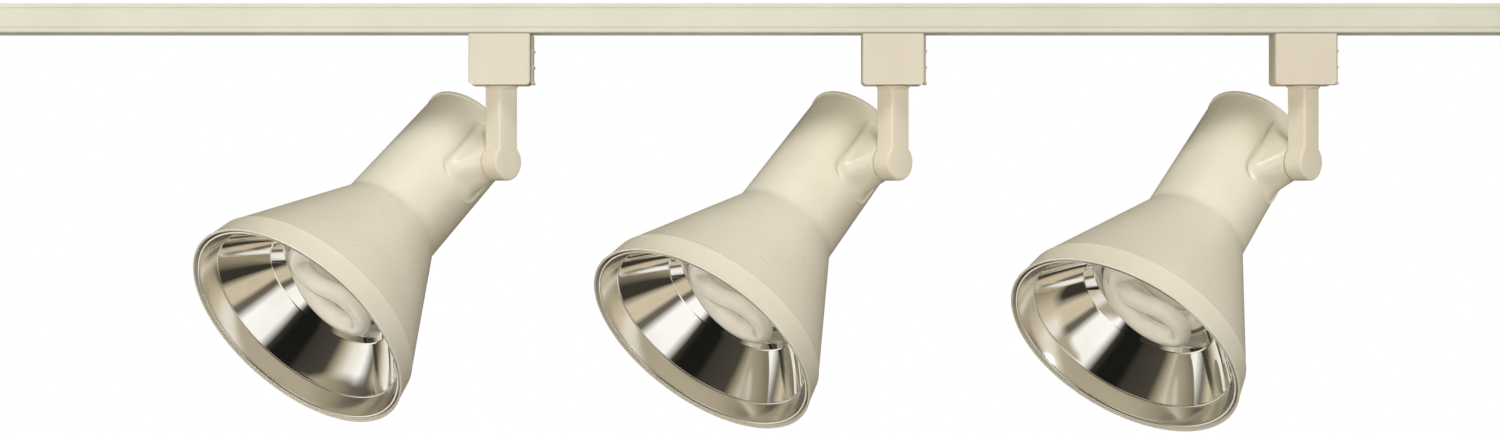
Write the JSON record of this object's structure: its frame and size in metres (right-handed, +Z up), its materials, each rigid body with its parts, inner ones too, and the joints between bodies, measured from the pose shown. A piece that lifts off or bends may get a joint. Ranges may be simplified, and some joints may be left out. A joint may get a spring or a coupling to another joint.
{
  "type": "track lighting fixture",
  "caption": "Track lighting: slotted ceiling channel with flared spot heads, each on a sliding adapter, turning stem and tilting knuckle.",
  "frame": {"origin": "middle of the track's top face, which lies against the ceiling", "axes": "+X along the track towards the dead end, +Z up out of the top face, -Y towards the room side that the heads face"},
  "size_m": [1.286, 0.2065, 0.2755],
  "materials": {
    "track_paint": "satin",
    "track_plastic": "satin",
    "adapter_plastic": "satin",
    "stem_plastic": "satin",
    "housing_paint": "semi-gloss",
    "polished_aluminium": "mirror polished",
    "liner_plastic": "matte",
    "copper": "bare copper",
    "brass": "bare",
    "spring_steel": "bare",
    "porcelain": "glazed",
    "lamp_plastic": "satin",
    "lamp_glass": "phosphor-coated, opaque",
    "lead_insulation": "matte"
  },
  "bodies": {
    "track": {"track_channel": "track_paint", "track_liners": "liner_plastic", "track_conductors": "copper", "end_cap": "track_plastic", "feed_housing": "track_plastic", "feed_terminals": "liner_plastic"},
    "adapter_1": {"adapter_housing_1": "adapter_plastic", "contact_carrier_1": "liner_plastic", "contact_blades_1": "copper", "latch_spring_1": "spring_steel"},
    "latch_1": {"release_latch_1": "adapter_plastic"},
    "stem_1": {"stem_1": "stem_plastic", "knuckle_cap_1": "stem_plastic", "swivel_nut_1": "brass"},
    "lamp_1": {"pivot_nipple_1": "brass", "lamp_arm_1": "housing_paint", "lamp_housing_1": "housing_paint", "rear_cap_1": "housing_paint", "reflector_1": "polished_aluminium", "lamp_socket_1": "porcelain", "socket_shell_1": "brass", "lamp_base_1": "lamp_plastic", "lamp_tube_1": "lamp_glass", "socket_leads_1": "lead_insulation"},
    "adapter_2": {"adapter_housing_2": "adapter_plastic", "contact_carrier_2": "liner_plastic", "contact_blades_2": "copper", "latch_spring_2": "spring_steel"},
    "latch_2": {"release_latch_2": "adapter_plastic"},
    "stem_2": {"stem_2": "stem_plastic", "knuckle_cap_2": "stem_plastic", "swivel_nut_2": "brass"},
    "lamp_2": {"pivot_nipple_2": "brass", "lamp_arm_2": "housing_paint", "lamp_housing_2": "housing_paint", "rear_cap_2": "housing_paint", "reflector_2": "polished_aluminium", "lamp_socket_2": "porcelain", "socket_shell_2": "brass", "lamp_base_2": "lamp_plastic", "lamp_tube_2": "lamp_glass", "socket_leads_2": "lead_insulation"},
    "adapter_3": {"adapter_housing_3": "adapter_plastic", "contact_carrier_3": "liner_plastic", "contact_blades_3": "copper", "latch_spring_3": "spring_steel"},
    "latch_3": {"release_latch_3": "adapter_plastic"},
    "stem_3": {"stem_3": "stem_plastic", "knuckle_cap_3": "stem_plastic", "swivel_nut_3": "brass"},
    "lamp_3": {"pivot_nipple_3": "brass", "lamp_arm_3": "housing_paint", "lamp_housing_3": "housing_paint", "rear_cap_3": "housing_paint", "reflector_3": "polished_aluminium", "lamp_socket_3": "porcelain", "socket_shell_3": "brass", "lamp_base_3": "lamp_plastic", "lamp_tube_3": "lamp_glass", "socket_leads_3": "lead_insulation"}
  },
  "joints": [
    {"name": "adapter_slide_1", "type": "slide", "parent": "track", "child": "adapter_1", "axis": [1, 0, 0], "range_m": [-0.15, 0.06]},
    {"name": "latch_1", "type": "slide", "parent": "adapter_1", "child": "latch_1", "axis": [0, 0, -1], "range_m": [0, 0.0035], "stiffness_N_per_m": 400, "springref_m": -0.004, "deforming": ["latch_spring_1"]},
    {"name": "stem_pan_1", "type": "hinge", "parent": "adapter_1", "child": "stem_1", "pos_m": [-0.253, 0, -0.0539], "axis": [0, 0, 1], "range_deg": [-137, 83]},
    {"name": "lamp_tilt_1", "type": "hinge", "parent": "stem_1", "child": "lamp_1", "pos_m": [-0.253, 0, -0.1017], "axis": [0.7314, -0.682, 0], "range_deg": [-35, 50]},
    {"name": "adapter_slide_2", "type": "slide", "parent": "track", "child": "adapter_2", "axis": [1, 0, 0], "range_m": [-0.06, 0.06]},
    {"name": "latch_2", "type": "slide", "parent": "adapter_2", "child": "latch_2", "axis": [0, 0, -1], "range_m": [0, 0.0035], "stiffness_N_per_m": 400, "springref_m": -0.004, "deforming": ["latch_spring_2"]},
    {"name": "stem_pan_2", "type": "hinge", "parent": "adapter_2", "child": "stem_2", "pos_m": [0, 0, -0.0539], "axis": [0, 0, 1], "range_deg": [-136, 84]},
    {"name": "lamp_tilt_2", "type": "hinge", "parent": "stem_2", "child": "lamp_2", "pos_m": [0, 0, -0.1017], "axis": [0.6947, -0.7193, 0], "range_deg": [-39, 46]},
    {"name": "adapter_slide_3", "type": "slide", "parent": "track", "child": "adapter_3", "axis": [1, 0, 0], "range_m": [-0.06, 0.15]},
    {"name": "latch_3", "type": "slide", "parent": "adapter_3", "child": "latch_3", "axis": [0, 0, -1], "range_m": [0, 0.0035], "stiffness_N_per_m": 400, "springref_m": -0.004, "deforming": ["latch_spring_3"]},
    {"name": "stem_pan_3", "type": "hinge", "parent": "adapter_3", "child": "stem_3", "pos_m": [0.265, 0, -0.0539], "axis": [0, 0, 1], "range_deg": [-175, 175]},
    {"name": "lamp_tilt_3", "type": "hinge", "parent": "stem_3", "child": "lamp_3", "pos_m": [0.265, 0, -0.1017], "axis": [0.7133, -0.7009, 0], "range_deg": [-41, 44]}
  ]
}
